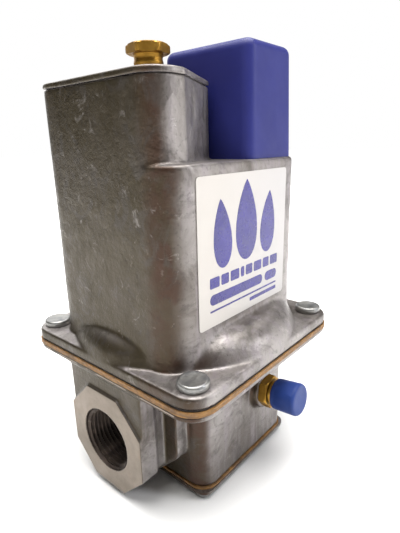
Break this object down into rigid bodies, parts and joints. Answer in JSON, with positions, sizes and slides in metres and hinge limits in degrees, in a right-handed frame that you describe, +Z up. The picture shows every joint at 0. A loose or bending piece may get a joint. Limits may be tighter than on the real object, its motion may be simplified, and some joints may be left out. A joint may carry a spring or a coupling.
{
  "type": "gas valve",
  "caption": "Modulating gas valve: cast body with in-line threaded ports, clamped diaphragm flanges, tall bonnet with solenoid, blue terminal cover, brass screw cap and capped pressure tap.",
  "frame": {"origin": "centre of the inlet port's mouth, on the pipe axis", "axes": "+X along the pipe axis from the inlet to the outlet, +Z up along the valve stem, -Y is the label side"},
  "size_m": [0.1003, 0.1066, 0.1751],
  "materials": {
    "cast_aluminium": "die cast, satin, weathered",
    "zinc_steel": "zinc plated",
    "steel": "bare",
    "brass": "turned",
    "copper": "enamelled wire",
    "gasket_fibre": "matte, amber brown",
    "diaphragm_rubber": "matte black",
    "cover_plastic": "satin deep blue",
    "cap_plastic": "soft vinyl, blue",
    "label_film": "gloss, printed blue graphic",
    "bobbin_plastic": "glass filled nylon",
    "terminal_plastic": "black",
    "lead_insulation": "white insulation"
  },
  "bodies": {
    "casing": {"lower_body": "cast_aluminium", "base_plate": "cast_aluminium", "base_gasket": "gasket_fibre", "base_screws": "zinc_steel", "flange_screws": "zinc_steel", "diaphragm_gasket": "gasket_fibre", "diaphragm": "diaphragm_rubber", "bonnet": "cast_aluminium", "tower_lid": "cast_aluminium", "lid_gasket": "diaphragm_rubber", "lid_screws": "zinc_steel", "label_plate": "label_film", "valve_seat": "brass", "main_spring": "steel", "pilot_nozzle": "brass", "yoke": "steel", "yoke_bar": "steel", "yoke_screws": "zinc_steel", "bobbin": "bobbin_plastic", "winding": "copper", "core_tube": "steel", "pole_piece": "steel", "core_nut": "zinc_steel", "pilot_spring": "steel", "adjuster_housing": "brass", "terminal_block": "terminal_plastic", "terminal_screws": "zinc_steel", "coil_leads": "lead_insulation", "tap_nipple": "brass"},
    "main_valve": {"disc_facing": "diaphragm_rubber", "valve_disc": "steel", "disc_clip": "steel", "valve_stem": "steel", "lower_diaphragm_plate": "steel", "upper_diaphragm_plate": "steel", "stem_nut": "zinc_steel"},
    "pilot_valve": {"plunger": "steel", "pilot_pad": "diaphragm_rubber"},
    "spring_follower": {"spring_button": "brass"},
    "adjuster": {"adjusting_screw": "brass"},
    "cap_carrier": {"cap_seal": "diaphragm_rubber"},
    "screw_cap": {"brass_cap": "brass"},
    "cover": {"terminal_cover": "cover_plastic"},
    "tap_cover": {"tap_cap": "cap_plastic"}
  },
  "joints": [
    {"name": "valve_lift", "type": "slide", "parent": "casing", "child": "main_valve", "axis": [0, 0, 1], "range_m": [0, 0.004], "stiffness_N_per_m": 600, "springref_m": -0.004, "deforming": ["main_spring", "diaphragm"]},
    {"name": "plunger_lift", "type": "slide", "parent": "casing", "child": "pilot_valve", "axis": [0, 0, 1], "range_m": [0, 0.002], "stiffness_N_per_m": 300, "springref_m": -0.002, "deforming": ["pilot_spring"]},
    {"name": "adjuster_travel", "type": "slide", "parent": "casing", "child": "spring_follower", "axis": [0, 0, 1], "range_m": [0, 0.003]},
    {"name": "adjuster_turn", "type": "hinge", "parent": "spring_follower", "child": "adjuster", "pos_m": [0.03515, 0, 0.12], "axis": [0, 0, 1], "range_deg": [0, 1080]},
    {"name": "cap_travel", "type": "slide", "parent": "casing", "child": "cap_carrier", "axis": [0, 0, 1], "range_m": [0, 0.0094]},
    {"name": "cap_turn", "type": "hinge", "parent": "cap_carrier", "child": "screw_cap", "pos_m": [0.03515, 0, 0.14], "axis": [0, 0, 1], "range_deg": [0, 3600]},
    {"name": "cover_lift", "type": "slide", "parent": "casing", "child": "cover", "axis": [0, 0, 1], "range_m": [0, 0.045]},
    {"name": "tap_cap_pull", "type": "slide", "parent": "casing", "child": "tap_cover", "axis": [0, -0.9945, 0.1045], "range_m": [0, 0.012]}
  ],
  "couplings": [
    {"joint": "adjuster_turn", "follows": "adjuster_travel", "rad_per_m": 6283.2},
    {"joint": "cap_turn", "follows": "cap_travel", "rad_per_m": 6679}
  ]
}
